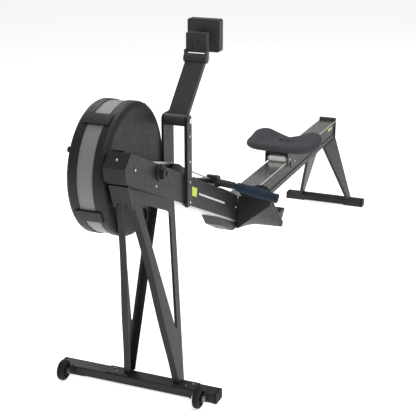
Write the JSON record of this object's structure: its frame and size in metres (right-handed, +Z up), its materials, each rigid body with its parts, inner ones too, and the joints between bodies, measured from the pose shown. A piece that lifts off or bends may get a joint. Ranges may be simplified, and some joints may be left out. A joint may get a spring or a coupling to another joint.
{
  "type": "rowing machine",
  "caption": "Indoor air-resistance rowing machine on tall legs, with a caged fan wheel, chain-pulled handle, sliding seat on a long rail, footrests and a tilting monitor.",
  "frame": {"origin": "on the floor, under the middle of the machine's bounding box", "axes": "+X from the fan wheel towards the rail's tail, +Y towards the side the cage is on, +Z up"},
  "size_m": [2.449, 0.61, 1.217],
  "materials": {
    "black_powder_coat": "satin powder coat",
    "black_plastic": "fine grain",
    "dark_panel": "satin",
    "grey_band": "perforated, satin",
    "bright_steel": "polished",
    "stainless": "brushed",
    "anodised": "satin anodised",
    "black_aluminium": "black anodised",
    "cast_wheel": "machined",
    "chain_steel": "nickel plated",
    "cord_rubber": "woven cover",
    "black_rubber": "matt",
    "navy_rubber": "matt",
    "grey_moulding": "fine grain",
    "strap_webbing": "woven",
    "seat_foam": "moulded skin",
    "white_roller": "smooth",
    "display_window": "clear"
  },
  "bodies": {
    "frame": {"front_foot": "black_powder_coat", "rear_foot": "black_powder_coat", "foot_end_caps": "black_rubber", "caster_brackets": "black_powder_coat", "caster_axles": "bright_steel", "front_leg_near": "black_powder_coat", "front_leg_far": "black_powder_coat", "leg_brace": "black_powder_coat", "screws": "bright_steel", "nose_housing": "black_powder_coat", "nose_side_cover": "dark_panel", "axle_boss": "black_plastic", "cage_bracket": "black_powder_coat", "main_beam": "anodised", "side_panels": "dark_panel", "handle_rest": "anodised", "rail_bracket": "black_powder_coat", "cage_near_cover": "black_plastic", "cage_screen": "grey_band", "cage_far_cover": "black_plastic", "rim_clips": "black_plastic", "axle_bearings": "bright_steel", "chain_guide": "black_plastic", "feed_chain": "chain_steel", "return_cord": "cord_rubber", "monitor_posts": "black_powder_coat", "arm_pivot_bolt": "bright_steel", "rail_beam": "black_aluminium", "rail_track": "stainless", "rail_stops": "grey_moulding", "footrest_supports": "black_plastic", "footboards": "black_plastic", "foot_straps": "strap_webbing", "rear_legs": "black_powder_coat"},
    "caster_near": {"caster_wheel_near": "black_rubber"},
    "caster_far": {"caster_wheel_far": "black_rubber"},
    "damper": {"damper_ring": "black_plastic"},
    "flywheel": {"flywheel_fan": "cast_wheel", "flywheel_axle": "bright_steel"},
    "sprocket": {"drive_sprocket": "bright_steel"},
    "idler": {"chain_idler": "white_roller"},
    "handle": {"handle_core": "black_plastic", "handle_grips": "navy_rubber", "pull_chain": "chain_steel"},
    "arm": {"monitor_arm": "grey_moulding", "monitor_hinge_pin": "bright_steel"},
    "monitor": {"monitor_bracket": "grey_moulding", "monitor_housing": "grey_moulding", "monitor_screen": "display_window"},
    "button_1": {"monitor_button_1": "black_rubber"},
    "button_2": {"monitor_button_2": "black_rubber"},
    "button_3": {"monitor_button_3": "black_rubber"},
    "seat": {"seat_pad": "seat_foam", "seat_carriage": "black_powder_coat", "seat_axles": "bright_steel"},
    "front_roller": {"seat_roller_front": "white_roller"},
    "rear_roller": {"seat_roller_rear": "white_roller"},
    "keepers": {"keeper_rollers": "white_roller"},
    "heel_near": {"heel_cup_near": "black_plastic"},
    "heel_far": {"heel_cup_far": "black_plastic"}
  },
  "joints": [
    {"name": "caster_near_spin", "type": "hinge", "parent": "frame", "child": "caster_near", "pos_m": [-1.0575, -0.258, 0.041], "axis": [0, 1, 0], "continuous": true},
    {"name": "caster_far_spin", "type": "hinge", "parent": "frame", "child": "caster_far", "pos_m": [-1.0575, 0.258, 0.041], "axis": [0, 1, 0], "continuous": true},
    {"name": "damper_turn", "type": "hinge", "parent": "frame", "child": "damper", "pos_m": [-0.9795, 0.1324, 0.79], "axis": [0, 1, 0], "range_deg": [0, 18]},
    {"name": "flywheel_spin", "type": "hinge", "parent": "frame", "child": "flywheel", "pos_m": [-0.9795, 0.046, 0.79], "axis": [0, 1, 0], "continuous": true},
    {"name": "sprocket_spin", "type": "hinge", "parent": "frame", "child": "sprocket", "pos_m": [-0.9795, -0.054, 0.79], "axis": [0, 1, 0], "continuous": true},
    {"name": "idler_spin", "type": "hinge", "parent": "frame", "child": "idler", "pos_m": [-0.7355, -0.054, 0.71984], "axis": [0, 1, 0], "continuous": true},
    {"name": "handle_pull", "type": "slide", "parent": "frame", "child": "handle", "axis": [0.9511, 0, 0.309], "range_m": [0, 0.85], "stiffness_N_per_m": 12, "springref_m": -2},
    {"name": "arm_swing", "type": "hinge", "parent": "frame", "child": "arm", "pos_m": [-0.7605, -0.054, 0.91], "axis": [0, 1, 0], "range_deg": [-45, 20]},
    {"name": "monitor_tilt", "type": "hinge", "parent": "arm", "child": "monitor", "pos_m": [-0.5835, -0.054, 1.09], "axis": [0, 1, 0], "range_deg": [-20, 25]},
    {"name": "seat_slide", "type": "slide", "parent": "frame", "child": "seat", "axis": [1, 0, 0], "range_m": [-0.36, 0.62]},
    {"name": "front_roller_spin", "type": "hinge", "parent": "seat", "child": "front_roller", "pos_m": [0.3645, -0.054, 0.47], "axis": [0, 1, 0], "continuous": true},
    {"name": "rear_roller_spin", "type": "hinge", "parent": "seat", "child": "rear_roller", "pos_m": [0.5205, -0.054, 0.47], "axis": [0, 1, 0], "continuous": true},
    {"name": "keeper_spin", "type": "hinge", "parent": "seat", "child": "keepers", "pos_m": [0.4425, -0.054, 0.4416], "axis": [0, 1, 0], "continuous": true},
    {"name": "heel_near_slide", "type": "slide", "parent": "frame", "child": "heel_near", "axis": [0.725, 0, -0.6887], "range_m": [-0.03, 0.01]},
    {"name": "heel_far_slide", "type": "slide", "parent": "frame", "child": "heel_far", "axis": [0.725, 0, -0.6887], "range_m": [-0.03, 0.01]},
    {"name": "button_1_press", "type": "slide", "parent": "monitor", "child": "button_1", "axis": [-1, 0, 0], "range_m": [0, 0.0015], "stiffness_N_per_m": 500, "springref_m": -0.0005},
    {"name": "button_2_press", "type": "slide", "parent": "monitor", "child": "button_2", "axis": [-1, 0, 0], "range_m": [0, 0.0015], "stiffness_N_per_m": 500, "springref_m": -0.0005},
    {"name": "button_3_press", "type": "slide", "parent": "monitor", "child": "button_3", "axis": [-1, 0, 0], "range_m": [0, 0.0015], "stiffness_N_per_m": 500, "springref_m": -0.0005}
  ],
  "couplings": [
    {"joint": "idler_spin", "follows": "handle_pull", "rad_per_m": 64.5},
    {"joint": "sprocket_spin", "follows": "handle_pull", "rad_per_m": 70.67},
    {"joint": "front_roller_spin", "follows": "seat_slide", "rad_per_m": 62.5},
    {"joint": "rear_roller_spin", "follows": "seat_slide", "rad_per_m": 62.5},
    {"joint": "keeper_spin", "follows": "seat_slide", "rad_per_m": -111.11}
  ]
}
